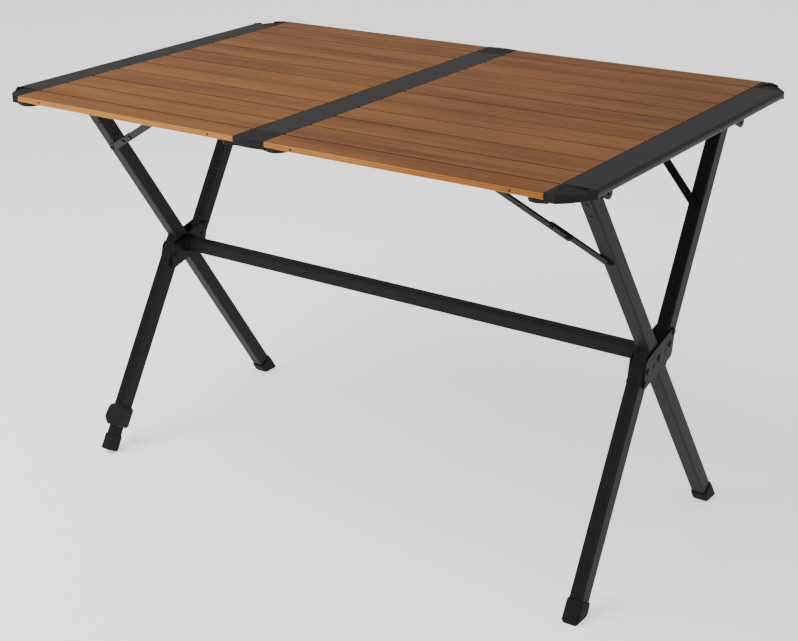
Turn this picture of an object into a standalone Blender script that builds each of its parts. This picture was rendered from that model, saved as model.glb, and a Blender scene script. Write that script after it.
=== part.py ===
"""Camping table with two roll-up bamboo mats on a folding frame of crossed legs.

Metres, +Z up. X runs along the table from left to right, Y from front to back.
The origin is on the ground under the middle of the table.
The slats lie on the ledges of three short rails, and the rails lie on two long
round rails. At each end a leg runs in one piece from the front long rail to the
back foot. A hub clamped on it carries the two halves of the other leg, which fold
in beside it.
"""

import math

import bmesh
import bpy
from mathutils import Matrix, Vector

# Overall size
TABLE_LENGTH = 1.150
TABLE_DEPTH = 0.716
TABLE_HEIGHT = 0.715
SEAT_GAP = 0.0003

# Bamboo slats and the elastic cords that string them
SLATS_PER_MAT = 12
SLAT_PITCH = 0.0618
SLAT_GAP = 0.0035
SLAT_THICKNESS = 0.010
SLAT_ROUND = 0.0022
SLAT_END_PLAY = 0.0004
CORD_HOLE = 0.0042
CORD_INSET = 0.052

# Short rails that carry the slat ends
END_RAIL_WIDTH = 0.056
CENTRE_RAIL_WIDTH = 0.062
RAIL_WALL = 0.0016
RAIL_EDGE_ROUND = 0.0015
END_RAIL_ROUND = 0.0045
LEDGE_REACH = 0.014
LEDGE_THICKNESS = 0.0030

# Moulded caps on the ends of the short rails
CAP_SETBACK = 0.0025
CAP_LIP_DROP = 0.0002
CAP_TONGUE_DROP = 0.0027
CAP_TONGUE = 0.034
CAP_TONGUE_SETBACK = 0.004
CAP_NOSE_FLAT = 0.0165
CAP_SIDE_FLAT = 0.0012
CAP_NOTCH = 0.0022
CAP_BLOCK_SHARE = 0.24
CAP_DRUM_BULGE = 0.0042
CAP_DISC_RADIUS = 0.0203
CAP_DISC_INSET = 0.013
CAP_DISC_STEP = 0.0004
CAP_DISC_FALL = 0.0022
CENTRE_CAP_BULGE = 0.003
CAP_EDGE_ROUND = 0.0010
SPIGOT_LENGTH = 0.018

# Crossed legs
LEG_X = 0.504
LEG_THICKNESS = 0.0235
LEG_WIDTH = 0.0255
LEG_WALL = 0.0016
LEG_CORNER = 0.0018
LEG_GROOVES = 5
LEG_GROOVE_PITCH = 0.0032
LEG_GROOVE_WIDTH = 0.0009
LEG_GROOVE_DEPTH = 0.0005
LEG_GROOVE_STEP = 0.05
HEAD_SLIT_WIDTH = 0.0010
HEAD_SLIT_INSET = 0.0034
HEAD_SLIT_SPAN = (0.014, 0.060)
HEAD_INSET = 0.1394
HUB_SHARE = 0.4846
HUB_Y = -0.0065
SPLIT_LEG_LESS = math.radians(0.9)

# Hub plates, their bolts and the pivots of the split leg
PLATE_THICKNESS = 0.003
PLATE_TIP = 0.066
PLATE_TIP_DROP = 0.003
PLATE_SHOULDER = 0.030
PLATE_HALF_HEIGHT = 0.0315
PLATE_CORNER = 0.006
PIVOT_REACH = 0.037
PIVOT_DROP = 0.011
STOP_BOLT_REACH = 0.055
STOP_BOLT_DROP = 0.001
BOLT_DIAMETER = 0.008
BOLT_HEAD_DIAMETER = 0.0105
BOLT_HEAD_HEIGHT = 0.0012
PLATE_SLOT_REACH = 0.0195
PLATE_SLOT_LENGTH = 0.009
PLATE_SLOT_WIDTH = 0.0026
PLATE_SLOT_DEPTH = 0.0010
RUNNING_CLEARANCE = 0.0003

# Crossbar between the hubs
CROSSBAR_HEIGHT = 0.025
CROSSBAR_DEPTH = 0.0175
CROSSBAR_WALL = 0.0018
CROSSBAR_RISE = 0.0035
CROSSBAR_GROOVE_HEIGHT = 0.0085
CROSSBAR_GROOVE_WIDTH = 0.0014
CROSSBAR_GROOVE_DEPTH = 0.0007
SOCKET_WALL = 0.0022
SOCKET_LENGTH = 0.009

# Knee braces between legs and long rails
BRACE_WIDTH = 0.0132
BRACE_THICKNESS = 0.003
FRONT_LEFT_BRACE = (0.120, 0.307, 0.315)
FRONT_RIGHT_BRACE = (0.160, 0.326, 0.3625)
BACK_BRACE = (0.1615, 0.333, 0.36)
BRACE_LAP = 0.030
RIVET_DIAMETER = 0.0075
RIVET_HEIGHT = 0.0016

# Brackets under the end rails
BRACKET_THICKNESS = 0.003
BRACKET_FLANGE = 0.030
BRACKET_FRONT = 0.020
BRACKET_REAR = 0.072
BRACKET_LOBE_Y = 0.043
BRACKET_LOBE_DROP = 0.0235
BRACKET_LOBE_RADIUS = 0.0100
BRACKET_EYE_RADIUS = 0.0120
HEAD_PIN_DIAMETER = 0.008

# Feet
BOOT_WALL = 0.0027
BOOT_LENGTH = 0.031
BOOT_SOLE = 0.008
BOOT_CORNER = 0.0045
BOOT_SOLE_ROUND = 0.0040
ADJUSTER_COLLAR_LENGTH = 0.039
COLLAR_WALL = 0.0018
COLLAR_INNER_WALL = 0.0040
COLLAR_OUTER_WALL = 0.0115
COLLAR_FLOOR = 0.004
ADJUSTER_NECK = 0.0165
ADJUSTER_NECK_LESS = 0.0023
ADJUSTER_FOOT_LENGTH = 0.030
ADJUSTER_FOOT_ROUND = 0.0032
ADJUSTER_GROUND_BITE = 0.0003
ADJUSTER_SCREW_LENGTH = 0.070

# Worked out from the sizes above
RAIL_HEIGHT = SLAT_THICKNESS + SEAT_GAP + LEDGE_THICKNESS
RAIL_BOTTOM = TABLE_HEIGHT - RAIL_HEIGHT
LONG_RAIL_RADIUS = LEG_WIDTH / 2
HEAD_Z = RAIL_BOTTOM - SEAT_GAP - LONG_RAIL_RADIUS
HEAD_TOP = LEG_WIDTH / 2
HUB_HEIGHT = TABLE_HEIGHT * HUB_SHARE
FRONT_HEAD_Y = -TABLE_DEPTH / 2 + HEAD_INSET
THROUGH_LEG_TILT = math.atan2(HUB_Y - FRONT_HEAD_Y, HEAD_Z - HUB_HEIGHT)
SPLIT_LEG_TILT = THROUGH_LEG_TILT - SPLIT_LEG_LESS
LEG_INNER = LEG_X - LEG_THICKNESS / 2
LEG_OUTER = LEG_X + LEG_THICKNESS / 2
SLAT_LENGTH = (TABLE_LENGTH - CENTRE_RAIL_WIDTH) / 2 - END_RAIL_WIDTH - 2 * SLAT_END_PLAY
FIRST_GAP_Y = SLAT_PITCH * (SLATS_PER_MAT - 2) / 2
RAIL_END_Y = FIRST_GAP_Y

ALONG_X = Matrix(((0, 0, 1, 0), (1, 0, 0, 0), (0, 1, 0, 0), (0, 0, 0, 1)))
ALONG_Y = Matrix(((1, 0, 0, 0), (0, 0, -1, 0), (0, 1, 0, 0), (0, 0, 0, 1)))
ALONG_Z = Matrix.Identity(4)


def start_scene():
    """Clear the scene and make one collection for the table and one for cutters."""
    for item in list(bpy.data.objects):
        bpy.data.objects.remove(item, do_unlink=True)
    for name in ("camping_table", "cutters"):
        collection = bpy.data.collections.get(name) or bpy.data.collections.new(name)
        if name not in bpy.context.scene.collection.children:
            bpy.context.scene.collection.children.link(collection)


def material(name, colour, roughness, metallic=0.0):
    """Return the named Principled material, made on first use."""
    made = bpy.data.materials.get(name)
    if made is None:
        made = bpy.data.materials.new(name)
        made.use_nodes = True
        shader = made.node_tree.nodes["Principled BSDF"]
        shader.inputs["Base Color"].default_value = (*colour, 1.0)
        shader.inputs["Roughness"].default_value = roughness
        shader.inputs["Metallic"].default_value = metallic
    return made


def bamboo():
    return material("bamboo", (0.34, 0.19, 0.09), 0.55)


def black_aluminium():
    return material("black_aluminium", (0.035, 0.034, 0.035), 0.42, 0.6)


def grey_aluminium():
    return material("grey_aluminium", (0.060, 0.057, 0.058), 0.45, 0.6)


def black_steel():
    return material("black_steel", (0.025, 0.025, 0.025), 0.45, 0.4)


def black_nylon():
    return material("black_nylon", (0.030, 0.030, 0.030), 0.60)


def black_rubber():
    return material("black_rubber", (0.015, 0.015, 0.015), 0.85)


def arc(centre, radius, start, end, steps):
    """Points on a circle from the start angle to the end angle, in degrees."""
    angles = [math.radians(start + (end - start) * step / steps) for step in range(steps + 1)]
    return [(centre[0] + radius * math.cos(a), centre[1] + radius * math.sin(a)) for a in angles]


def circle(centre, radius, steps=20):
    """Closed circle without a repeated last point."""
    return arc(centre, radius, 0, 360, steps)[:-1]


def rectangle(low, high):
    """Corner points of a rectangle, anticlockwise."""
    return [low, (high[0], low[1]), high, (low[0], high[1])]


def rounded_outline(corners, radii, steps=3):
    """Polygon whose corners are rounded by arcs that are tangent to both sides."""
    points = []
    count = len(corners)
    for index, corner in enumerate(corners):
        here = Vector(corner)
        before = (Vector(corners[index - 1]) - here).normalized()
        after = (Vector(corners[(index + 1) % count]) - here).normalized()
        half_angle = before.angle(after) / 2
        radius = radii[index % len(radii)]
        bisector = (before + after).normalized()
        centre = here + bisector * radius / math.sin(half_angle)
        first = here + before * radius / math.tan(half_angle) - centre
        last = here + after * radius / math.tan(half_angle) - centre
        turn = first.angle_signed(last)
        for step in range(steps + 1):
            angle = -turn * step / steps
            swing = Matrix.Rotation(angle, 2)
            points.append(tuple(centre + swing @ first))
    return points


def link(item, finish, group="camping_table"):
    """Put an object in its collection with its material."""
    bpy.data.collections[group].objects.link(item)
    if finish is not None:
        item.data.materials.clear()
        item.data.materials.append(finish)
    return item


def extrusion(name, outlines, span, frame, finish=None, group="camping_table"):
    """Flat outline extruded over a span; the frame matrix says which axis it follows."""
    curve = bpy.data.curves.new(name, "CURVE")
    curve.dimensions = "2D"
    curve.fill_mode = "BOTH"
    curve.extrude = (span[1] - span[0]) / 2
    for outline in outlines:
        spline = curve.splines.new("POLY")
        spline.points.add(len(outline) - 1)
        for point, place in zip(spline.points, outline):
            point.co = (place[0], place[1], 0.0, 1.0)
        spline.use_cyclic_u = True
    drawn = bpy.data.objects.new(name + "_outline", curve)
    bpy.context.scene.collection.objects.link(drawn)
    bpy.context.view_layer.update()
    graph = bpy.context.evaluated_depsgraph_get()
    mesh = bpy.data.meshes.new_from_object(drawn.evaluated_get(graph))
    bpy.data.objects.remove(drawn, do_unlink=True)
    bpy.data.curves.remove(curve)
    shift = Matrix.Translation((0.0, 0.0, (span[0] + span[1]) / 2))
    mesh.transform(frame @ shift)
    weld(mesh)
    mesh.name = name
    return link(bpy.data.objects.new(name, mesh), finish, group)


def weld(mesh):
    """Join the loose caps of an extruded curve to its sides and turn all faces out."""
    shape = bmesh.new()
    shape.from_mesh(mesh)
    bmesh.ops.remove_doubles(shape, verts=shape.verts, dist=0.000005)
    bmesh.ops.recalc_face_normals(shape, faces=shape.faces)
    shape.to_mesh(mesh)
    shape.free()


def loft(name, rings, finish=None, group="camping_table"):
    """Solid skinned over closed rings of 3-D points that all have the same count."""
    count = len(rings[0])
    points = [point for ring in rings for point in ring]
    faces = [tuple(range(count)), tuple(range(len(points) - count, len(points)))]
    for level in range(len(rings) - 1):
        base = level * count
        for index in range(count):
            after = (index + 1) % count
            faces.append((base + index, base + after, base + count + after, base + count + index))
    mesh = bpy.data.meshes.new(name)
    mesh.from_pydata(points, [], faces)
    weld(mesh)
    return link(bpy.data.objects.new(name, mesh), finish, group)


def cylinder(name, radius, span, centre, frame=ALONG_X, sides=20, finish=None, group="cutters"):
    """Round bar made as an extruded circle, so that it has clean caps."""
    return extrusion(name, [circle(centre, radius, sides)], span, frame, finish, group)


def combine(target, other, operation):
    """Boolean with the exact solver; the second object becomes a hidden guide."""
    modifier = target.modifiers.new(operation.lower() + "_" + other.name, "BOOLEAN")
    modifier.object = other
    modifier.operation = operation
    modifier.solver = "EXACT"
    if other.name in bpy.data.collections["camping_table"].objects:
        bpy.data.collections["camping_table"].objects.unlink(other)
        bpy.data.collections["cutters"].objects.link(other)
    other.hide_render = True
    other.display_type = "WIRE"
    if other.parent is None and target.parent is None:
        other.location = target.location
        other.rotation_euler = target.rotation_euler
    return target


def cut(target, other):
    return combine(target, other, "DIFFERENCE")


def unite(target, other):
    return combine(target, other, "UNION")


def place(item, location, tilt=0.0):
    """Set the object's place and its turn about X."""
    item.location = location
    item.rotation_euler = (tilt, 0.0, 0.0)
    return item


def side_name(side):
    return "right" if side > 0 else "left"


def end_name(end):
    return "front" if end < 0 else "back"


def build_slats():
    """Two mats of bamboo slats, drilled for two elastic cords each."""
    outer_slat = (TABLE_DEPTH - (SLATS_PER_MAT - 2) * SLAT_PITCH) / 2 - SLAT_GAP / 2
    for side in (-1, 1):
        middle_x = side * (CENTRE_RAIL_WIDTH / 2 + SLAT_END_PLAY + SLAT_LENGTH / 2)
        for number in range(SLATS_PER_MAT):
            first = number == 0
            last = number == SLATS_PER_MAT - 1
            width = outer_slat if first or last else SLAT_PITCH - SLAT_GAP
            if first:
                middle_y = -TABLE_DEPTH / 2 + width / 2
            elif last:
                middle_y = TABLE_DEPTH / 2 - width / 2
            else:
                middle_y = -FIRST_GAP_Y + (number - 0.5) * SLAT_PITCH
            corners = rectangle((-width / 2, -SLAT_THICKNESS / 2), (width / 2, SLAT_THICKNESS / 2))
            outline = rounded_outline(corners, [SLAT_ROUND], 3)
            name = "slat_%s_%02d" % (side_name(side), number + 1)
            half = SLAT_LENGTH / 2
            slat = extrusion(name, [outline], (-half, half), ALONG_X, bamboo())
            reach = half - CORD_INSET
            for hand, x in (("a", -reach), ("b", reach)):
                hole = cylinder(name + "_cord_" + hand, CORD_HOLE / 2, (-width, width),
                                (x, 0.0), ALONG_Y, 8)
                cut(slat, hole)
                hole.location = (middle_x, middle_y, TABLE_HEIGHT - SLAT_THICKNESS / 2)
            place(slat, (middle_x, middle_y, TABLE_HEIGHT - SLAT_THICKNESS / 2))


def rail_outline(width, left_ledge, right_ledge, left_round, right_round):
    """Cross-section of a short rail, with its ledges at the bottom, top at zero."""
    half = width / 2
    bottom = -RAIL_HEIGHT
    shelf = bottom + LEDGE_THICKNESS
    corners = []
    radii = []
    if left_ledge:
        corners += [(-half - LEDGE_REACH, bottom)]
        radii += [0.0006]
    else:
        corners += [(-half, bottom)]
        radii += [left_round]
    if right_ledge:
        corners += [(half + LEDGE_REACH, bottom), (half + LEDGE_REACH, shelf), (half, shelf)]
        radii += [0.0006, 0.0006, 0.0004]
    else:
        corners += [(half, bottom)]
        radii += [right_round]
    corners += [(half, 0.0), (-half, 0.0)]
    radii += [right_round, left_round]
    if left_ledge:
        corners += [(-half, shelf), (-half - LEDGE_REACH, shelf)]
        radii += [0.0004, 0.0006]
    return rounded_outline(corners, radii, 2)


def rail_hollow(width):
    """Inside of a short rail's box section, whose floor is as thick as its ledges."""
    half = width / 2 - RAIL_WALL
    low = -RAIL_HEIGHT + LEDGE_THICKNESS
    return rounded_outline(rectangle((-half, low), (half, -RAIL_WALL)), [0.0008], 2)


def build_short_rails():
    """Left, centre and right rails with open box sections, running front to back."""
    span = (-RAIL_END_Y + SEAT_GAP, RAIL_END_Y - SEAT_GAP)
    end_x = (TABLE_LENGTH - END_RAIL_WIDTH) / 2
    sections = {
        "left_end_rail": (-end_x, END_RAIL_WIDTH, False, True, END_RAIL_ROUND, RAIL_EDGE_ROUND),
        "centre_rail": (0.0, CENTRE_RAIL_WIDTH, True, True, RAIL_EDGE_ROUND, RAIL_EDGE_ROUND),
        "right_end_rail": (end_x, END_RAIL_WIDTH, True, False, RAIL_EDGE_ROUND, END_RAIL_ROUND),
    }
    for name, (x, width, *shape) in sections.items():
        outlines = [rail_outline(width, *shape), rail_hollow(width)]
        rail = extrusion(name, outlines, span, ALONG_Y, grey_aluminium())
        place(rail, (x, 0.0, TABLE_HEIGHT))


def end_cap_chord():
    """Ends of a front right cap's slanted corner face, measured from the rail's inner end."""
    length = TABLE_DEPTH / 2 - RAIL_END_Y
    nose = Vector((CAP_NOSE_FLAT, -length + CAP_SETBACK + CAP_NOTCH))
    flank = Vector((END_RAIL_WIDTH, -CAP_SIDE_FLAT))
    return nose, flank


def end_cap_plan():
    """Plan of a front right cap: a short flat front, a bulging drum and a flat corner block."""
    nose, flank = end_cap_chord()
    chord = flank - nose
    outward = Vector((chord.y, -chord.x)).normalized()
    drum_end = nose + chord * (1 - CAP_BLOCK_SHARE)
    sweep = []
    steps = 8
    for step in range(steps + 1):
        share = step / steps
        bulge = CAP_DRUM_BULGE * math.sin(math.pi * (0.12 + 0.78 * share))
        sweep.append(tuple(nose + (drum_end - nose) * share + outward * bulge))
    front = nose.y - CAP_NOTCH
    return [(0.0, 0.0), (0.0, front), (nose.x, front)] + sweep + [tuple(drum_end), tuple(flank),
                                                                (END_RAIL_WIDTH, 0.0)]


def cap_disc(name, put):
    """Cutter that sinks a round facet into a cap's top, deepest over the drum."""
    nose, flank = end_cap_chord()
    chord = flank - nose
    outward = Vector((chord.y, -chord.x)).normalized()
    centre = nose + chord * 0.5 - outward * CAP_DISC_INSET
    outline = circle(tuple(centre), CAP_DISC_RADIUS, 28)
    placed = put(outline)
    source = outline if (placed[0][0] > 0) == (placed[0][1] < 0) else list(reversed(outline))
    floor = []
    for plan, flat in zip(placed, source):
        reach = (Vector(flat) - centre).dot(outward) + CAP_DISC_RADIUS
        share = reach / (CAP_DISC_RADIUS + CAP_DISC_INSET)
        floor.append((plan[0], plan[1], -CAP_DISC_STEP - CAP_DISC_FALL * share))
    lid = [(x, y, 0.004) for x, y in placed]
    return loft(name + "_disc", [floor, lid], None, "cutters")


def centre_cap_plan():
    """Plan of the front centre cap, whose front bulges in the middle."""
    half = CENTRE_RAIL_WIDTH / 2
    front = TABLE_DEPTH / 2 - RAIL_END_Y
    steps = 8
    sweep = []
    for step in range(steps + 1):
        share = step / steps
        sweep.append((half * (2 * share - 1), -front - CENTRE_CAP_BULGE * math.sin(math.pi * share)))
    return [(-half, 0.0)] + sweep + [(half, 0.0)]


def tongue_plan(inner_x, length):
    """Curved wing of a cap under the slat end, reaching out in +X from the rail edge."""
    front = -length + CAP_TONGUE_SETBACK
    sweep = []
    steps = 6
    for step in range(steps + 1):
        angle = math.radians(90.0 * step / steps)
        x = inner_x + CAP_TONGUE * math.sin(angle)
        y = front * math.cos(angle) - 0.4 * length * math.sin(angle)
        sweep.append((x, y))
    root = inner_x - 0.004
    return [(root, -0.002), (root, front)] + sweep + [(inner_x + CAP_TONGUE, -0.002)]


def build_caps():
    """Six moulded caps that close the short rails and reach under the outer slats."""
    length = TABLE_DEPTH / 2 - RAIL_END_Y
    lip = -RAIL_HEIGHT - CAP_LIP_DROP
    wing_bottom = -RAIL_HEIGHT - CAP_TONGUE_DROP
    shelf = -SLAT_THICKNESS - SEAT_GAP
    for end in (-1, 1):
        for place_name, column in (("left", -1), ("centre", 0), ("right", 1)):
            name = "%s_%s_cap" % (end_name(end), place_name)
            if column:
                width = END_RAIL_WIDTH
                base = Vector(((TABLE_LENGTH / 2 - END_RAIL_WIDTH), 0.0))
                body_plan = end_cap_plan()
                wings = [[(-x, y) for x, y in reversed(tongue_plan(0.0, length))]]
                spigot_middle = END_RAIL_WIDTH / 2
            else:
                width = CENTRE_RAIL_WIDTH
                base = Vector((0.0, 0.0))
                body_plan = centre_cap_plan()
                right_wing = tongue_plan(CENTRE_RAIL_WIDTH / 2, length)
                wings = [right_wing, [(-x, y) for x, y in reversed(right_wing)]]
                spigot_middle = 0.0

            def put(points):
                """Move a plan from the front right corner to this cap's corner."""
                moved = [(base.x + x, -RAIL_END_Y - SEAT_GAP / 2 + y) for x, y in points]
                if column < 0:
                    moved = [(-x, y) for x, y in reversed(moved)]
                if end > 0:
                    moved = [(x, -y) for x, y in reversed(moved)]
                return moved

            cap = extrusion(name, [put(body_plan)], (lip, 0.0), ALONG_Z, black_nylon())
            soften = cap.modifiers.new("soft_edges", "BEVEL")
            soften.width = CAP_EDGE_ROUND
            soften.segments = 2
            soften.limit_method = "ANGLE"
            soften.angle_limit = math.radians(50.0)
            for index, wing in enumerate(wings):
                tongue = extrusion("%s_tongue_%d" % (name, index + 1), [put(wing)],
                                   (wing_bottom, shelf), ALONG_Z)
                unite(cap, tongue)
            if column:
                cut(cap, cap_disc(name, put))
            half = width / 2 - RAIL_WALL - SEAT_GAP
            spigot_plan = rectangle((spigot_middle - half, -0.002), (spigot_middle + half, SPIGOT_LENGTH))
            spigot = extrusion(name + "_spigot", [put(spigot_plan)],
                               (-RAIL_HEIGHT + LEDGE_THICKNESS + SEAT_GAP, -RAIL_WALL - SEAT_GAP), ALONG_Z)
            unite(cap, spigot)
            for item in [cap] + [m.object for m in cap.modifiers if m.type == "BOOLEAN"]:
                item.location = (0.0, 0.0, TABLE_HEIGHT)


def leg_section(grooves):
    """Leg extrusion: rounded box, with fine grooves on its front and back faces if asked."""
    half_x = LEG_THICKNESS / 2
    half_y = LEG_WIDTH / 2
    front = []
    for index in range(grooves):
        middle = (index - (grooves - 1) / 2) * LEG_GROOVE_PITCH
        half = LEG_GROOVE_WIDTH / 2
        floor = -half_y + LEG_GROOVE_DEPTH * (1 + index * LEG_GROOVE_STEP)
        front += [(middle - half, -half_y), (middle - half, floor),
                  (middle + half, floor), (middle + half, -half_y)]
    corners = rounded_outline(rectangle((-half_x, -half_y), (half_x, half_y)), [LEG_CORNER], 2)
    quarter = len(corners) // 4
    back = [(-x, -y) for x, y in front]
    outer = corners[:quarter] + front + corners[quarter:3 * quarter] + back + corners[3 * quarter:]
    inner_x = half_x - LEG_WALL
    inner_y = half_y - LEG_WALL
    inner = rectangle((-inner_x, -inner_y), (inner_x, inner_y))
    return [outer, inner]


def leg_tube(name, low, high, grooves=0):
    """Straight length of leg extrusion along its own Z."""
    return extrusion(name, leg_section(grooves), (low, high), ALONG_Z, black_aluminium())


def drill_across(leg, label, height, diameter):
    """Hole through both side walls of a leg for a bolt or pin."""
    reach = LEG_THICKNESS
    hole = cylinder("%s_%s" % (leg.name, label), diameter / 2 + RUNNING_CLEARANCE,
                    (-reach, reach), (0.0, height), ALONG_X, 16)
    cut(leg, hole)


def round_head(leg, height):
    """Trim a leg's upper end to a half circle about its head pin."""
    radius = LEG_WIDTH / 2
    wide = 1.6 * radius
    bite = arc((0.0, height), radius, 180, 0, 12)
    outline = [(-wide, height), *bite, (wide, height), (wide, height + wide), (-wide, height + wide)]
    trimmer = extrusion(leg.name + "_head_trim", [outline], (-LEG_THICKNESS, LEG_THICKNESS),
                        ALONG_X, None, "cutters")
    cut(leg, trimmer)


def ground_distance(origin_z, tilt):
    """Distance along a tilted leg from its origin down to the ground."""
    return origin_z / math.cos(abs(tilt))


def hub_point(reach, rise):
    """World (y, z) of a point given across and along the through leg from the hub."""
    tilt = THROUGH_LEG_TILT
    y = HUB_Y + reach * math.cos(tilt) - rise * math.sin(tilt)
    z = HUB_HEIGHT + reach * math.sin(tilt) + rise * math.cos(tilt)
    return y, z


REAR_PIVOT_Y, REAR_PIVOT_Z = hub_point(PIVOT_REACH, -PIVOT_DROP)
SHANK_PIVOT_Y, SHANK_PIVOT_Z = hub_point(-PIVOT_REACH, PIVOT_DROP)
REAR_ARM_LENGTH = (HEAD_Z - REAR_PIVOT_Z) / math.cos(SPLIT_LEG_TILT)
BACK_HEAD_Y = REAR_PIVOT_Y + REAR_ARM_LENGTH * math.sin(SPLIT_LEG_TILT)
HUB_DISTANCE = (HEAD_Z - HUB_HEIGHT) / math.cos(THROUGH_LEG_TILT)


def foot_end(origin_z, tilt):
    """Local height at which a leg tube stops above its boot's sole."""
    return -ground_distance(origin_z, tilt) + BOOT_SOLE + LEG_WIDTH / 2 * math.tan(abs(tilt))


def build_through_legs():
    """One-piece legs from the front head pins through the hubs to the back feet."""
    low = foot_end(HEAD_Z, THROUGH_LEG_TILT)
    for side in (-1, 1):
        leg = leg_tube("%s_through_leg" % side_name(side), low, LEG_WIDTH / 2 + 0.001)
        round_head(leg, 0.0)
        drill_across(leg, "head_hole", 0.0, HEAD_PIN_DIAMETER)
        drill_across(leg, "hub_hole", -HUB_DISTANCE, BOLT_DIAMETER)
        slit_x = LEG_THICKNESS / 2 - HEAD_SLIT_INSET
        slit_plan = rectangle((slit_x, -LEG_WIDTH), (slit_x + HEAD_SLIT_WIDTH, -LEG_WIDTH / 4))
        cut(leg, extrusion(leg.name + "_slit", [slit_plan], (-HEAD_SLIT_SPAN[1], -HEAD_SLIT_SPAN[0]),
                           ALONG_Z, None, "cutters"))
        put_group(leg, (side * LEG_X, FRONT_HEAD_Y, HEAD_Z), THROUGH_LEG_TILT)


def put_group(item, location, tilt):
    """Place an object together with the guides of its modifiers."""
    place(item, location, tilt)
    for modifier in item.modifiers:
        if modifier.type == "BOOLEAN":
            place(modifier.object, location, tilt)


def mitre(leg, pivot, towards):
    """Cut a split leg's inner end parallel to the through leg's face, as its stop."""
    across = -towards * (PIVOT_REACH - LEG_WIDTH / 2 - SEAT_GAP)
    far = -towards * PIVOT_REACH * 2.5
    low, high = sorted((across, far))
    block = extrusion(leg.name + "_mitre", [rectangle((low, -0.12), (high, 0.12))],
                      (-LEG_THICKNESS, LEG_THICKNESS), ALONG_X, None, "cutters")
    cut(leg, block)
    place(block, pivot, THROUGH_LEG_TILT)


def build_split_legs():
    """Upper and lower halves of the other leg, pivoted on the hub plates."""
    for side in (-1, 1):
        x = side * LEG_X
        arm = leg_tube("%s_upper_leg" % side_name(side), -0.060, REAR_ARM_LENGTH + LEG_WIDTH / 2 + 0.001,
                       LEG_GROOVES)
        round_head(arm, REAR_ARM_LENGTH)
        drill_across(arm, "pivot_hole", 0.0, BOLT_DIAMETER)
        pivot = (x, REAR_PIVOT_Y, REAR_PIVOT_Z)
        put_group(arm, pivot, -SPLIT_LEG_TILT)
        mitre(arm, pivot, 1)

        low = foot_end(SHANK_PIVOT_Z, SPLIT_LEG_TILT)
        if side < 0:
            low = adjuster_end(SHANK_PIVOT_Z) + ADJUSTER_FOOT_LENGTH + ADJUSTER_NECK + COLLAR_FLOOR + SEAT_GAP
        shank = leg_tube("%s_lower_leg" % side_name(side), low, 0.060, LEG_GROOVES)
        drill_across(shank, "pivot_hole", 0.0, BOLT_DIAMETER)
        pivot = (x, SHANK_PIVOT_Y, SHANK_PIVOT_Z)
        put_group(shank, pivot, -SPLIT_LEG_TILT)
        mitre(shank, pivot, -1)


def plate_outline():
    """Hub plate: a long parallelogram set square across the through leg."""
    corners = [(PLATE_TIP, PLATE_TIP_DROP), (-PLATE_SHOULDER, PLATE_HALF_HEIGHT),
               (-PLATE_TIP, -PLATE_TIP_DROP), (PLATE_SHOULDER, -PLATE_HALF_HEIGHT)]
    return rounded_outline(corners, [PLATE_CORNER, 2 * PLATE_CORNER], 4)


def bolt_places():
    """Centre bolt, the two pivots and the two stop bolts, across and along the leg."""
    return {
        "centre": (0.0, 0.0),
        "rear_pivot": (PIVOT_REACH, -PIVOT_DROP),
        "shank_pivot": (-PIVOT_REACH, PIVOT_DROP),
        "rear_stop": (STOP_BOLT_REACH, -STOP_BOLT_DROP),
        "shank_stop": (-STOP_BOLT_REACH, STOP_BOLT_DROP),
    }


def cut_slots(plate, side, face):
    """Two shallow slots in an outer plate, between the centre bolt and the pivots."""
    span = sorted((side * (face - PLATE_SLOT_DEPTH), side * (face + 0.004)))
    half_length = PLATE_SLOT_LENGTH / 2
    half_width = PLATE_SLOT_WIDTH / 2
    for hand in (-1, 1):
        y = hand * PLATE_SLOT_REACH
        z = -hand * PIVOT_DROP / 2
        corners = rectangle((y - half_length, z - half_width), (y + half_length, z + half_width))
        outline = rounded_outline(corners, [half_width * 0.9], 3)
        cut(plate, extrusion("%s_slot_%s" % (plate.name, side_name(hand)), [outline], span,
                             ALONG_X, None, "cutters"))


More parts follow.
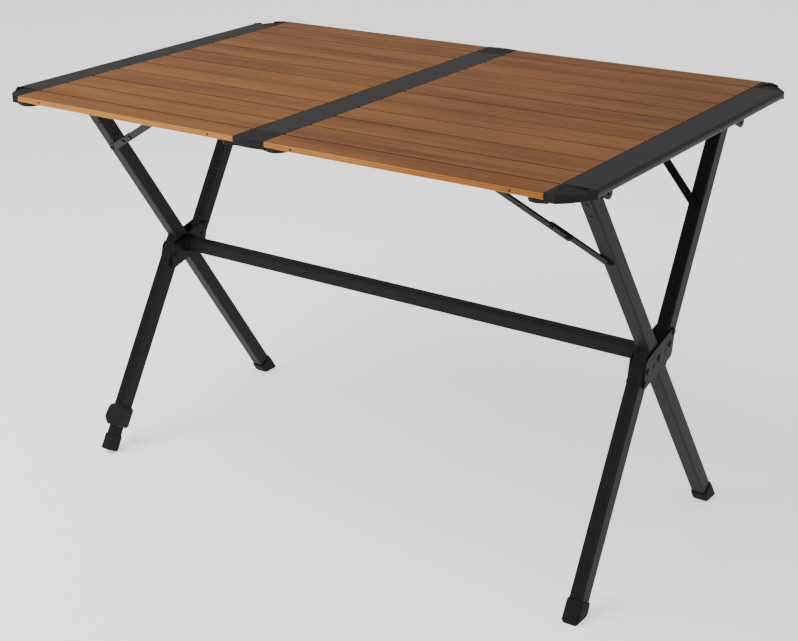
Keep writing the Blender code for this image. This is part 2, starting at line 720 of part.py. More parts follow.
def build_hubs():
    """Outer plates with their bolts and inner plates with the crossbar's sockets."""
    outer_face = LEG_OUTER + SEAT_GAP
    inner_face = LEG_INNER - SEAT_GAP
    for side in (-1, 1):
        name = "%s_outer_hub_plate" % side_name(side)
        span = sorted((side * outer_face, side * (outer_face + PLATE_THICKNESS)))
        plate = extrusion(name, [plate_outline()], span, ALONG_X, black_steel())
        for label, centre in bolt_places().items():
            head = sorted((side * (outer_face + 0.001),
                           side * (outer_face + PLATE_THICKNESS + BOLT_HEAD_HEIGHT)))
            unite(plate, cylinder("%s_%s_head" % (name, label), BOLT_HEAD_DIAMETER / 2, head, centre))
            if label == "centre":
                cut_slots(plate, side, outer_face + PLATE_THICKNESS)
            if "stop" in label:
                continue
            shank = sorted((side * (outer_face + 0.001), side * (inner_face + SEAT_GAP)))
            unite(plate, cylinder("%s_%s_shank" % (name, label), BOLT_DIAMETER / 2, shank, centre, sides=16))
        put_group(plate, (0.0, HUB_Y, HUB_HEIGHT), THROUGH_LEG_TILT)

        name = "%s_inner_hub_plate" % side_name(side)
        span = sorted((side * (inner_face - PLATE_THICKNESS), side * inner_face))
        plate = extrusion(name, [plate_outline()], span, ALONG_X, black_steel())
        for label, centre in bolt_places().items():
            if label == "centre":
                continue
            head = sorted((side * (inner_face - PLATE_THICKNESS - BOLT_HEAD_HEIGHT),
                           side * (inner_face - 0.001)))
            unite(plate, cylinder("%s_%s_nut" % (name, label), BOLT_HEAD_DIAMETER / 2, head, centre, sides=6))
        put_group(plate, (0.0, HUB_Y, HUB_HEIGHT), THROUGH_LEG_TILT)
        socket_span = sorted((side * (inner_face - PLATE_THICKNESS - SOCKET_LENGTH),
                              side * (inner_face - 0.001)))
        half_y = CROSSBAR_DEPTH / 2 + SEAT_GAP
        half_z = CROSSBAR_HEIGHT / 2 + SEAT_GAP
        outside = rounded_outline(rectangle((-half_y - SOCKET_WALL, -half_z - SOCKET_WALL),
                                            (half_y + SOCKET_WALL, half_z + SOCKET_WALL)), [0.003], 2)
        inside = rectangle((-half_y, -half_z), (half_y, half_z))
        socket = extrusion(name + "_socket", [outside, inside], socket_span, ALONG_X)
        unite(plate, socket)
        place(socket, (0.0, HUB_Y, HUB_HEIGHT + CROSSBAR_RISE))


def build_crossbar():
    """Box tube between the two hubs with a groove along its front face."""
    reach = LEG_INNER - SEAT_GAP - PLATE_THICKNESS - SEAT_GAP
    half_y = CROSSBAR_DEPTH / 2
    half_z = CROSSBAR_HEIGHT / 2
    groove_low = CROSSBAR_GROOVE_HEIGHT - CROSSBAR_GROOVE_WIDTH / 2
    groove_high = CROSSBAR_GROOVE_HEIGHT + CROSSBAR_GROOVE_WIDTH / 2
    groove = [(-half_y, groove_high), (-half_y + CROSSBAR_GROOVE_DEPTH, groove_high),
              (-half_y + CROSSBAR_GROOVE_DEPTH, groove_low), (-half_y, groove_low)]
    corners = rounded_outline(rectangle((-half_y, -half_z), (half_y, half_z)), [0.0012], 2)
    outer = corners + groove
    wall = CROSSBAR_WALL
    inner = rectangle((-half_y + wall, -half_z + wall), (half_y - wall, half_z - wall))
    bar = extrusion("crossbar", [outer, inner], (-reach, reach), ALONG_X, black_aluminium())
    place(bar, (0.0, HUB_Y, HUB_HEIGHT + CROSSBAR_RISE))


def build_long_rails():
    """Round tubes along the table under the short rails, one on each pair of heads."""
    reach = LEG_INNER - SEAT_GAP
    rings = [circle((0.0, 0.0), LONG_RAIL_RADIUS, 24), circle((0.0, 0.0), LONG_RAIL_RADIUS - LEG_WALL, 24)]
    for name, y in (("front_long_rail", FRONT_HEAD_Y), ("back_long_rail", BACK_HEAD_Y)):
        rail = extrusion(name, rings, (-reach, reach), ALONG_X, black_aluminium())
        place(rail, (0.0, y, HEAD_Z))


def brace_bar(name, start, end, width, layer, finish):
    """Flat bar with round ends between two (x, height) points; layer is its y span."""
    first = Vector(start)
    last = Vector(end)
    heading = math.degrees(math.atan2(last.y - first.y, last.x - first.x))
    radius = width / 2
    outline = arc(tuple(first), radius, heading + 90, heading + 270, 6)
    outline += arc(tuple(last), radius, heading - 90, heading + 90, 6)
    group = "camping_table" if finish else "cutters"
    return extrusion(name, [outline], layer, ALONG_Y, finish, group)


def build_braces():
    """Jointed knee braces in the front plane of each leg, up to the long rails."""
    face = LEG_WIDTH / 2 + SEAT_GAP
    for side in (-1, 1):
        for end in (-1, 1):
            name = "%s_%s_knee_brace" % (end_name(end), side_name(side))
            reach, rail_x, knee_share = BACK_BRACE
            if end < 0:
                reach, rail_x, knee_share = FRONT_RIGHT_BRACE if side > 0 else FRONT_LEFT_BRACE
            leg_point = Vector((side * LEG_X, -reach))
            rail_point = Vector((side * rail_x, 0.0))
            run = rail_point - leg_point
            along = run.normalized()
            knee = leg_point + run * knee_share
            lap_low = knee - along * BRACE_LAP / 2
            lap_high = knee + along * BRACE_LAP / 2
            near = (face, face + BRACE_THICKNESS)
            far = (near[1] - 0.0004, near[1] + BRACE_THICKNESS)
            brace = brace_bar(name, leg_point, lap_high, BRACE_WIDTH, near, black_steel())
            upper_width = BRACE_WIDTH - 2 * SEAT_GAP
            unite(brace, brace_bar(name + "_upper", lap_low, rail_point, upper_width, far, None))
            for label, point, base in (("leg", leg_point, near[1]), ("low", lap_low, far[1]),
                                       ("high", lap_high, far[1]), ("rail", rail_point, far[1])):
                low = face if label == "rail" else base - 0.0005
                unite(brace, cylinder("%s_%s_rivet" % (name, label), RIVET_DIAMETER / 2,
                                      (low, base + RIVET_HEIGHT), tuple(point), ALONG_Y, 16))
            if end < 0:
                put_group(brace, (0.0, FRONT_HEAD_Y, HEAD_Z), THROUGH_LEG_TILT)
            else:
                put_group(brace, (0.0, BACK_HEAD_Y, HEAD_Z), -SPLIT_LEG_TILT)


def bracket_cheek():
    """Side view of a head bracket: y from the head pin towards the back, z from it up."""
    top = HEAD_TOP
    eye = arc((0.0, 0.0), BRACKET_EYE_RADIUS, 200, 250, 4)
    lobe = arc((BRACKET_LOBE_Y, -BRACKET_LOBE_DROP), BRACKET_LOBE_RADIUS, 240, 375, 8)
    hollow = [(BRACKET_REAR - 0.015, top - 0.019), (BRACKET_REAR - 0.007, top - 0.0105)]
    return [(-BRACKET_FRONT, top), *eye, *lobe, *hollow, (BRACKET_REAR, top - BRACKET_THICKNESS),
            (BRACKET_REAR, top)]


def build_brackets():
    """Angle brackets under the end rails; the front pair carries the head pins."""
    cheek_x = LEG_OUTER + SEAT_GAP
    for side in (-1, 1):
        for end in (-1, 1):
            name = "%s_%s_head_bracket" % (end_name(end), side_name(side))
            outline = bracket_cheek()
            flange = (-BRACKET_FRONT, BRACKET_REAR)
            head_y = FRONT_HEAD_Y if end < 0 else BACK_HEAD_Y
            span = sorted((side * cheek_x, side * (cheek_x + BRACKET_THICKNESS)))
            bracket = extrusion(name, [outline], span, ALONG_X, black_steel())
            low, high = sorted((side * (cheek_x + 0.001), side * (cheek_x + BRACKET_FLANGE)))
            leaf_plan = rectangle((low, flange[0]), (high, flange[1]))
            unite(bracket, extrusion(name + "_leaf", [leaf_plan],
                                     (HEAD_TOP - BRACKET_THICKNESS, HEAD_TOP), ALONG_Z, None, "cutters"))
            rivet_span = sorted((side * (cheek_x + 0.001), side * (cheek_x + BRACKET_THICKNESS + RIVET_HEIGHT)))
            unite(bracket, cylinder(name + "_rivet", RIVET_DIAMETER / 2, rivet_span,
                                    (BRACKET_LOBE_Y, -BRACKET_LOBE_DROP), ALONG_X, 14))
            if end < 0:
                pin_span = sorted((side * (cheek_x + 0.001), side * (LEG_INNER + SEAT_GAP)))
                unite(bracket, cylinder(name + "_pin", HEAD_PIN_DIAMETER / 2, pin_span,
                                        (0.0, 0.0), ALONG_X, 16))
            put_group(bracket, (0.0, head_y, HEAD_Z), 0.0)


def shell(half_x, half_y, corner, wall=0.0, steps=3):
    """Rounded box outline a wall thickness outside the given half sizes."""
    size_x = half_x + wall
    size_y = half_y + wall
    return rounded_outline(rectangle((-size_x, -size_y), (size_x, size_y)), [corner], steps)


def boot(name, origin, tilt):
    """Boot pushed over the end of a leg, with a rounded rim where it meets the ground."""
    half_x = LEG_THICKNESS / 2
    half_y = LEG_WIDTH / 2
    ground = -ground_distance(origin[2], tilt)
    top = ground + BOOT_LENGTH

    def level_ring(height, wall):
        """Ring that is level with the ground at a world height."""
        ring = []
        for x, y in shell(half_x, half_y, BOOT_CORNER, wall):
            z = (height - origin[2] - y * math.sin(tilt)) / math.cos(tilt)
            ring.append((x, y, z))
        return ring

    def square_ring(height, wall):
        """Ring square to the leg at a local height."""
        return [(x, y, height) for x, y in shell(half_x, half_y, BOOT_CORNER, wall)]

    rings = [
        level_ring(0.0, BOOT_WALL - BOOT_SOLE_ROUND),
        level_ring(BOOT_SOLE_ROUND * 0.25, BOOT_WALL - BOOT_SOLE_ROUND * 0.4),
        level_ring(BOOT_SOLE_ROUND, BOOT_WALL),
        square_ring(top - BOOT_LENGTH * 0.3, BOOT_WALL),
        square_ring(top - BOOT_WALL * 0.3, BOOT_WALL * 0.85),
        square_ring(top, BOOT_WALL * 0.5),
    ]
    body = loft(name, rings, black_rubber())
    pocket_plan = shell(half_x, half_y, LEG_CORNER, SEAT_GAP, 2)
    pocket_floor = foot_end(origin[2], tilt) - SEAT_GAP
    cut(body, extrusion(name + "_pocket", [pocket_plan], (pocket_floor, top + 0.01), ALONG_Z, None, "cutters"))
    put_group(body, origin, tilt)


def adjuster_end(origin_z):
    """Local height of the levelling foot's square end, whose rounded back edge stands on the ground."""
    tilt = SPLIT_LEG_TILT
    radius = ADJUSTER_FOOT_ROUND
    back_edge = LEG_WIDTH / 2 - radius
    return (radius - ADJUSTER_GROUND_BITE - origin_z + back_edge * math.sin(tilt)) / math.cos(tilt) - radius


def build_levelling_foot(origin, tilt):
    """Collar fixed on the front left leg and the screw foot that slides out of it."""
    half_x = LEG_THICKNESS / 2
    half_y = LEG_WIDTH / 2
    sole = adjuster_end(origin[2])
    shoe_top = sole + ADJUSTER_FOOT_LENGTH
    collar_low = shoe_top + ADJUSTER_NECK
    collar_high = collar_low + ADJUSTER_COLLAR_LENGTH
    screw_radius = BOLT_DIAMETER / 2

    def collar_ring(share, outer_share, inner_share, wall_share):
        """Ring at a share of the collar's length; the outer side of the leg is at -X."""
        outer = -half_x - SEAT_GAP - COLLAR_WALL * 0.5 - (COLLAR_OUTER_WALL - COLLAR_WALL * 0.5) * outer_share
        inner = half_x + SEAT_GAP + COLLAR_WALL * 0.5 + (COLLAR_INNER_WALL - COLLAR_WALL * 0.5) * inner_share
        deep = half_y + SEAT_GAP + COLLAR_WALL * wall_share
        outline = rounded_outline(rectangle((outer, -deep), (inner, deep)), [LEG_CORNER], 2)
        return [(x, y, collar_low + ADJUSTER_COLLAR_LENGTH * share) for x, y in outline]

    collar = loft("levelling_collar", [
        collar_ring(0.0, 0.0, 0.0, 0.6),
        collar_ring(0.10, 0.40, 0.95, 1.0),
        collar_ring(0.30, 1.0, 1.0, 1.0),
        collar_ring(0.58, 0.92, 1.0, 1.0),
        collar_ring(0.78, 0.80, 1.0, 1.0),
        collar_ring(0.91, 0.55, 0.9, 1.0),
        collar_ring(1.0, 0.05, 0.0, 0.6),
    ], black_nylon())
    pocket_plan = shell(half_x, half_y, LEG_CORNER, SEAT_GAP, 2)
    cut(collar, extrusion("levelling_collar_pocket", [pocket_plan],
                          (collar_low + COLLAR_FLOOR, collar_high + 0.01), ALONG_Z, None, "cutters"))
    cut(collar, cylinder("levelling_collar_bore", screw_radius + RUNNING_CLEARANCE,
                         (collar_low - 0.01, collar_high), (0.0, 0.0), ALONG_Z))
    put_group(collar, origin, tilt)

    radius = ADJUSTER_FOOT_ROUND
    rings = []
    for step in range(4):
        angle = math.radians(30 * step)
        inset = radius * (1 - math.sin(angle))
        height = sole + radius * (1 - math.cos(angle))
        rings.append([(x, y, height) for x, y in shell(half_x, half_y, radius + 0.0004, -inset)])
    for inset, drop in ((0.0, 0.0012), (0.0010, 0.0)):
        rings.append([(x, y, shoe_top - drop) for x, y in shell(half_x, half_y, radius + 0.0004, -inset)])
    foot = loft("levelling_foot", rings, black_rubber())
    neck_plan = shell(half_x, half_y, LEG_CORNER, -ADJUSTER_NECK_LESS, 2)
    unite(foot, extrusion("levelling_foot_neck", [neck_plan], (shoe_top - 0.002, collar_low - SEAT_GAP),
                          ALONG_Z))
    unite(foot, cylinder("levelling_foot_screw", screw_radius, (shoe_top, shoe_top + ADJUSTER_SCREW_LENGTH),
                         (0.0, 0.0), ALONG_Z, 20))
    floor_plan = rectangle((-0.08, -0.08), (0.08, 0.08))
    ground_block = extrusion("levelling_foot_ground", [floor_plan], (-0.08, 0.0), ALONG_Z, None, "cutters")
    cut(foot, ground_block)
    put_group(foot, origin, tilt)
    place(ground_block, (origin[0], origin[1] + origin[2] * math.tan(tilt), 0.0))


def build_feet():
    """Boots on three legs and a levelling foot on the front left one."""
    for side in (-1, 1):
        boot("back_%s_foot" % side_name(side), (side * LEG_X, FRONT_HEAD_Y, HEAD_Z), THROUGH_LEG_TILT)
    boot("front_right_foot", (LEG_X, SHANK_PIVOT_Y, SHANK_PIVOT_Z), -SPLIT_LEG_TILT)
    build_levelling_foot((-LEG_X, SHANK_PIVOT_Y, SHANK_PIVOT_Z), -SPLIT_LEG_TILT)


def main():
    start_scene()
    build_slats()
    build_short_rails()
    build_caps()
    build_through_legs()
    build_split_legs()
    build_hubs()
    build_crossbar()
    build_long_rails()
    build_braces()
    build_brackets()
    build_feet()


main()
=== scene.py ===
import math

import bpy
import numpy as np
from mathutils import Matrix, Vector


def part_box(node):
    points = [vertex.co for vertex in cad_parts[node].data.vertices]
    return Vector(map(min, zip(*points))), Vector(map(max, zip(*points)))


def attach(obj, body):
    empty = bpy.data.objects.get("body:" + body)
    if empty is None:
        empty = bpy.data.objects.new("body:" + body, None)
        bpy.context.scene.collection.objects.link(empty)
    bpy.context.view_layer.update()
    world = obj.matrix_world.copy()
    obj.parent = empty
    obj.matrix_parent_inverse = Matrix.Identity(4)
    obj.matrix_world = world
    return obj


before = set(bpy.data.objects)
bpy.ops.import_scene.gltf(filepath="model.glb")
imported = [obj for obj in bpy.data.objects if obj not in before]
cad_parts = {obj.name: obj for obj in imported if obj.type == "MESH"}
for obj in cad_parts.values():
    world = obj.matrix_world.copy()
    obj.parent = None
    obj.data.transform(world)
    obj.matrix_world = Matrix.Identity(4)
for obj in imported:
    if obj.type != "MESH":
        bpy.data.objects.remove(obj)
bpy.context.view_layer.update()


# The studio view
# The table is seen from the front right and a little above, through a short
# telephoto lens. The lens is shifted down, as in a catalogue picture.

def aim(yaw, pitch, roll):
    """Camera axes from a turn about Z, a nod down and a tilt about the line of sight."""
    ahead = Vector((math.sin(yaw) * math.cos(pitch), math.cos(yaw) * math.cos(pitch), -math.sin(pitch)))
    level = Vector((math.cos(yaw), -math.sin(yaw), 0.0))
    upward = level.cross(ahead)
    right = math.cos(roll) * level + math.sin(roll) * upward
    above = math.cos(roll) * upward - math.sin(roll) * level
    return Matrix((right, above, -ahead)).transposed()


SENSOR_MM = 36.0
LENS_MM = 69.85
SHIFT = (-0.0363, -0.1810)
FAR_CLIP = 50.0
CAMERA_SPOT = (1.5309, -2.0280, 1.3446)
CAMERA_TURN_DEGREES = (-35.655, 17.183, -1.398)

view = bpy.data.objects.new("camera", bpy.data.cameras.new("camera"))
bpy.context.scene.collection.objects.link(view)
view.data.sensor_width = SENSOR_MM
view.data.lens = LENS_MM
view.data.shift_x, view.data.shift_y = SHIFT
view.data.clip_end = FAR_CLIP
turn = aim(*[math.radians(angle) for angle in CAMERA_TURN_DEGREES])
view.matrix_world = Matrix.Translation(CAMERA_SPOT) @ turn.to_4x4()
bpy.context.scene.camera = view


# Studio floor and lights
# A white floor that glows like a light table, so it throws soft light up at the
# frame. A large soft box hangs over the front left, a weak one stands at the
# right, and even light comes from all round.

def linear(code):
    """Linear colour of an sRGB hex code."""
    parts = [int(code[i:i + 2], 16) / 255.0 for i in (1, 3, 5)]
    return tuple(p / 12.92 if p <= 0.04045 else ((p + 0.055) / 1.055) ** 2.4 for p in parts) + (1.0,)


def add(tree, kind, links=(), **settings):
    """Add one shader node and link it. Its properties and sockets are set by name, and a name
    such as i6 sets the socket of that number."""
    node = tree.nodes.new(kind)
    for name, value in settings.items():
        if hasattr(node, name):
            setattr(node, name, value)
        else:
            label = name.replace("_", " ")
            socket = node.inputs[int(name[1:])] if name[1:].isdigit() else node.inputs[label]
            socket.default_value = value
    for source, target in links:
        tree.links.new(source, node.inputs[target])
    return node


def finish(name, **shader):
    """A new material, its tree and its Principled shader, with plain values set."""
    made = bpy.data.materials.new(name)
    made.use_nodes = True
    body = made.node_tree.nodes["Principled BSDF"]
    for socket, value in shader.items():
        body.inputs[socket.replace("_", " ")].default_value = value
    return made, made.node_tree, body


FLOOR_REACH = 30.0
FLOOR_GLOW = 0.9
MOTTLE_SCALE = 1.5
floor_paint, tree, body = finish("painted_studio_floor", Roughness=0.9, Emission_Strength=FLOOR_GLOW)
body.inputs["Emission Color"].default_value = linear("#ffffff")
place = add(tree, "ShaderNodeTexCoord")
mottle = add(tree, "ShaderNodeTexNoise", [(place.outputs["Object"], "Vector")], Scale=MOTTLE_SCALE)
tint = add(tree, "ShaderNodeMix", [(mottle.outputs["Fac"], 0)], data_type="RGBA",
           i6=linear("#f6f6f5"), i7=linear("#fafaf9"))
tree.links.new(tint.outputs[2], body.inputs["Base Color"])

corners = [(-FLOOR_REACH, -FLOOR_REACH, 0), (FLOOR_REACH, -FLOOR_REACH, 0),
           (FLOOR_REACH, FLOOR_REACH, 0), (-FLOOR_REACH, FLOOR_REACH, 0)]
mesh = bpy.data.meshes.new("studio_floor")
mesh.from_pydata(corners, [], [(0, 1, 2, 3)])
mesh.materials.append(floor_paint)
floor = bpy.data.objects.new("studio_floor", mesh)
bpy.context.scene.collection.objects.link(floor)

ROOM_LIGHT = 0.55
AIM_SPOT = Vector((0.0, 0.0, 0.6))
SOFT_BOXES = {
    "overhead_left": ((-0.9, -1.2, 2.5), 2.0, 80.0),
    "right_strip": ((2.8, -0.6, 1.2), 1.2, 2.0),
}

world = bpy.data.worlds.new("studio")
bpy.context.scene.world = world
world.use_nodes = True
world.node_tree.nodes["Background"].inputs["Color"].default_value = (1.0, 1.0, 1.0, 1.0)
world.node_tree.nodes["Background"].inputs["Strength"].default_value = ROOM_LIGHT

for label, (spot, size, watts) in SOFT_BOXES.items():
    lamp = bpy.data.objects.new(label, bpy.data.lights.new(label, "AREA"))
    lamp.data.size = size
    lamp.data.energy = watts
    lamp.location = spot
    lamp.rotation_euler = (AIM_SPOT - lamp.location).to_track_quat("-Z", "Y").to_euler()
    bpy.context.scene.collection.objects.link(lamp)


# Bamboo slats
# Each slat is glued from layers of carbonised bamboo and lacquered. The strips
# run its whole length, each with its own brown, and the table's sawn front and
# back edges show the paler layers with dark glue lines between them.

TABLE_HEIGHT = 0.715
SLAT_PITCH = 0.0618
SLAT_THICKNESS = 0.010
SLATS = 12
STRIP_WIDTH = 0.0052
FIBRE_MM = 0.9
FIBRE_DRAW = 6.0
FIBRE_RELIEF = 0.0003
CLOUD_SCALE = (3.0, 22.0, 22.0)
LAYER = SLAT_THICKNESS / 3
GLUE_BAND = (0.05, 0.11)
STRIP_SHARE = 0.22
SLAT_SHARE = 0.18
TONE_RANGE = (0.85, 1.5)
SAWN_FROM_UPRIGHT = (0.85, 0.5)

bamboo, tree, body = finish("laminated_bamboo", Roughness=0.5, Specular_IOR_Level=0.14)
place = add(tree, "ShaderNodeTexCoord")
where = add(tree, "ShaderNodeSeparateXYZ", [(place.outputs["Object"], "Vector")])
# One tone for each slat, and one for each strip in it.
row = add(tree, "ShaderNodeMath", [(where.outputs["Y"], 0)], operation="MULTIPLY_ADD",
          i1=1.0 / SLAT_PITCH, i2=SLATS / 2)
row_index = add(tree, "ShaderNodeMath", [(row.outputs[0], 0)], operation="FLOOR")
mat = add(tree, "ShaderNodeMath", [(where.outputs["X"], 0)], operation="SIGN")
slat_key = add(tree, "ShaderNodeCombineXYZ", [(row_index.outputs[0], "X"), (mat.outputs[0], "Y")])
slat_tone = add(tree, "ShaderNodeTexWhiteNoise", [(slat_key.outputs[0], "Vector")],
                noise_dimensions="2D")
strip = add(tree, "ShaderNodeMath", [(where.outputs["Y"], 0)], operation="MULTIPLY",
            i1=1.0 / STRIP_WIDTH)
strip_index = add(tree, "ShaderNodeMath", [(strip.outputs[0], 0)], operation="FLOOR")
strip_key = add(tree, "ShaderNodeCombineXYZ", [(strip_index.outputs[0], "X"), (mat.outputs[0], "Y")])
strip_tone = add(tree, "ShaderNodeTexWhiteNoise", [(strip_key.outputs[0], "Vector")],
                 noise_dimensions="2D")
# Fibres: noise drawn out along the slat, about a millimetre wide.
fibre_map = add(tree, "ShaderNodeMapping", [(place.outputs["Object"], "Vector")],
                Scale=(FIBRE_DRAW, 1000.0 / FIBRE_MM, 1000.0 / FIBRE_MM))
fibre = add(tree, "ShaderNodeTexNoise", [(fibre_map.outputs[0], "Vector")],
            Scale=1.0, Detail=4.0, Roughness=0.6)
# Clouds: slow changes of tone, a few centimetres wide.
cloud_map = add(tree, "ShaderNodeMapping", [(place.outputs["Object"], "Vector")], Scale=CLOUD_SCALE)
cloud = add(tree, "ShaderNodeTexNoise", [(cloud_map.outputs[0], "Vector")], Scale=1.0, Detail=3.0)
soft = add(tree, "ShaderNodeMath", [(fibre.outputs["Fac"], 0), (cloud.outputs["Fac"], 1)],
           operation="ADD")
mixed = add(tree, "ShaderNodeMath", [(strip_tone.outputs["Value"], 0), (soft.outputs[0], 2)],
            operation="MULTIPLY_ADD", i1=STRIP_SHARE)
tone = add(tree, "ShaderNodeMath", [(slat_tone.outputs["Value"], 0), (mixed.outputs[0], 2)],
           operation="MULTIPLY_ADD", i1=SLAT_SHARE)
shade = add(tree, "ShaderNodeMapRange", [(tone.outputs[0], "Value")],
            From_Min=TONE_RANGE[0], From_Max=TONE_RANGE[1])
face = add(tree, "ShaderNodeMix", [(shade.outputs[0], 0)], data_type="RGBA",
           i6=linear("#593412"), i7=linear("#805124"))
# The edges in the gaps are darker than the front and back edges of the table: painted shade, where the
# slats shade each other across the gaps.
outer_edge = add(tree, "ShaderNodeMix", [(shade.outputs[0], 0)], data_type="RGBA",
                 i6=linear("#96591c"), i7=linear("#bd7f35"))
painted_shade_gap_edge = add(tree, "ShaderNodeMix", [(shade.outputs[0], 0)], data_type="RGBA",
               i6=linear("#3f210a"), i7=linear("#5e3814"))
from_middle = add(tree, "ShaderNodeMath", [(where.outputs["Y"], 0)], operation="ABSOLUTE")
at_edge = add(tree, "ShaderNodeMath", [(from_middle.outputs[0], 0)], operation="GREATER_THAN",
              i1=SLAT_PITCH * (SLATS - 1) / 2)
# Outer edges keep the plain sawn colour; edges in the gaps take the painted-shade colour.
edge = add(tree, "ShaderNodeMix",
           [(at_edge.outputs[0], 0), (painted_shade_gap_edge.outputs[2], 6), (outer_edge.outputs[2], 7)],
           data_type="RGBA")
# Glue lines: thin dark bands a third and two thirds of the way down the edge.
depth = add(tree, "ShaderNodeMath", [(where.outputs["Z"], 0)], operation="MULTIPLY_ADD",
            i1=1.0 / LAYER, i2=-(TABLE_HEIGHT - SLAT_THICKNESS) / LAYER)
cycle = add(tree, "ShaderNodeMath", [(depth.outputs[0], 0)], operation="PINGPONG", i1=0.5)
line = add(tree, "ShaderNodeMapRange", [(cycle.outputs[0], "Value")],
           From_Min=GLUE_BAND[0], From_Max=GLUE_BAND[1])
glued = add(tree, "ShaderNodeMix", [(line.outputs[0], 0), (edge.outputs[2], 7)], data_type="RGBA",
            i6=linear("#5c3716"))
# A surface is sawn edge where its normal leans well away from straight up or down.
upright = add(tree, "ShaderNodeSeparateXYZ", [(place.outputs["Normal"], "Vector")])
flat = add(tree, "ShaderNodeMath", [(upright.outputs["Z"], 0)], operation="ABSOLUTE")
sawn = add(tree, "ShaderNodeMapRange", [(flat.outputs[0], "Value")],
           From_Min=SAWN_FROM_UPRIGHT[0], From_Max=SAWN_FROM_UPRIGHT[1])
wood = add(tree, "ShaderNodeMix", [(sawn.outputs[0], 0), (face.outputs[2], 6), (glued.outputs[2], 7)],
           data_type="RGBA")
tree.links.new(wood.outputs[2], body.inputs["Base Color"])
relief = add(tree, "ShaderNodeBump", [(fibre.outputs["Fac"], "Height")],
             Strength=0.25, Distance=FIBRE_RELIEF)
tree.links.new(relief.outputs[0], body.inputs["Normal"])


def dress(made, *names):
    """Give CAD nodes a material."""
    for name in names:
        slots = bpy.data.objects[name].data.materials
        slots.clear()
        slots.append(made)


dress(bamboo, *[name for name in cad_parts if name.startswith("slat_")])


# Elastic cords of the mats
# Two round elastic cords with a woven cover string each mat together. Each slat
# carries its own stretch, which reaches just past the middle of the gap on each
# side, and the last ends show as dark dots in the front and back edges.

CORD_DIAMETER = 0.0034
CORD_ROWS = (0.0836, 0.4668)
CORD_END_INSET = CORD_DIAMETER * 0.2
CORD_SIDES = 14
THREAD_MM = 0.9
POLE_DEGREES = 8
SHARP_DEGREES = 35


def turned(name, profile, spot, axis, sides, made, body, flats=()):
    """A closed turned piece. Ring k has its profile's radius and its height along the axis, and
    its points go round by equal angles. A ring named in flats is drawn in to a hexagon: its radius
    is multiplied by cos 30 over the cosine of the angle from the middle of the flat."""
    rings = np.array(profile)
    ahead = np.array(axis) / np.linalg.norm(axis)
    beside_axis = (1.0, 0.0, 0.0) if abs(ahead[0]) < 0.5 else (0.0, 1.0, 0.0)
    across = np.cross(ahead, beside_axis)
    across /= np.linalg.norm(across)
    other = np.cross(ahead, across)
    angle = np.arange(sides) * 2 * np.pi / sides
    radius = np.repeat(rings[:, :1], sides, axis=1)
    from_flat = np.mod(angle, np.pi / 3) - np.pi / 6
    for k in flats:
        radius[k] *= np.cos(np.pi / 6) / np.cos(from_flat)
    around = np.cos(angle)[:, None] * across + np.sin(angle)[:, None] * other
    points = np.array(spot) + rings[:, 1][:, None, None] * ahead + radius[:, :, None] * around
    here = np.arange(len(rings) - 1)[:, None] * sides + np.arange(sides)
    beside = np.arange(len(rings) - 1)[:, None] * sides + np.roll(np.arange(sides), -1)
    walls = np.stack([here, beside, beside + sides, here + sides], axis=-1).reshape(-1, 4)
    bottom = list(range(sides))[::-1]
    top = list(range((len(rings) - 1) * sides, len(rings) * sides))
    mesh = bpy.data.meshes.new(name)
    mesh.from_pydata(points.reshape(-1, 3).tolist(), [], walls.tolist() + [bottom, top])
    mesh.polygons.foreach_set("use_smooth", [True] * len(mesh.polygons))
    mesh.set_sharp_from_angle(angle=math.radians(SHARP_DEGREES))
    mesh.materials.append(made)
    piece = bpy.data.objects.new(name, mesh)
    bpy.context.scene.collection.objects.link(piece)
    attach(piece, body)


def cord_profile(radius, length, steps=4):
    """Radius and height of a rod with half-round ends: the rod's radius times the sine, and less
    the cosine, of an angle that goes from just off the pole to a right angle."""
    turn = np.radians(np.linspace(POLE_DEGREES, 90, steps))
    end = np.stack([radius * np.sin(turn), -radius * np.cos(turn)], axis=1)
    return np.concatenate([end, np.stack([end[::-1, 0], length - end[::-1, 1]], axis=1)])


# Crossed dark threads, drawn a little coarser than the real ones so that they show.
elastic, tree, body = finish("woven_elastic_cord", Roughness=0.8)
place = add(tree, "ShaderNodeTexCoord")
weave = add(tree, "ShaderNodeTexChecker", [(place.outputs["Object"], "Vector")],
            Scale=1000.0 / THREAD_MM, Color1=linear("#1c1a18"), Color2=linear("#2b2826"))
tree.links.new(weave.outputs["Color"], body.inputs["Base Color"])
relief = add(tree, "ShaderNodeBump", [(weave.outputs["Fac"], "Height")], Strength=0.4, Distance=0.0002)
tree.links.new(relief.outputs[0], body.inputs["Normal"])

for side, hand in (("left", -1), ("right", 1)):
    for number in range(1, SLATS + 1):
        middle = SLAT_PITCH * (number - 0.5 - SLATS / 2)
        start = middle - SLAT_PITCH / 2
        end = middle + SLAT_PITCH / 2
        low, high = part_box("slat_%s_%02d" % (side, number))
        if number == 1:
            start = low[1] + CORD_END_INSET
        if number == SLATS:
            end = high[1] - CORD_END_INSET
        carrier = "top" if number == 1 else "%s_slat_%02d" % (side, number)
        level = TABLE_HEIGHT - SLAT_THICKNESS / 2
        for row_name, cord_x in zip(("inner", "outer"), CORD_ROWS):
            turned("%s_%s_cord_%02d" % (side, row_name, number),
                   cord_profile(CORD_DIAMETER / 2, end - start),
                   (hand * cord_x, start, level), (0.0, 1.0, 0.0), CORD_SIDES, elastic, carrier)


# Short rails
# Extruded aluminium, blasted and anodised dark grey, so the face is even, dull
# and very slightly speckled.

GRAIN_SPAN = (0.3, 0.7)
ROUGHNESS_SPREAD = 0.05


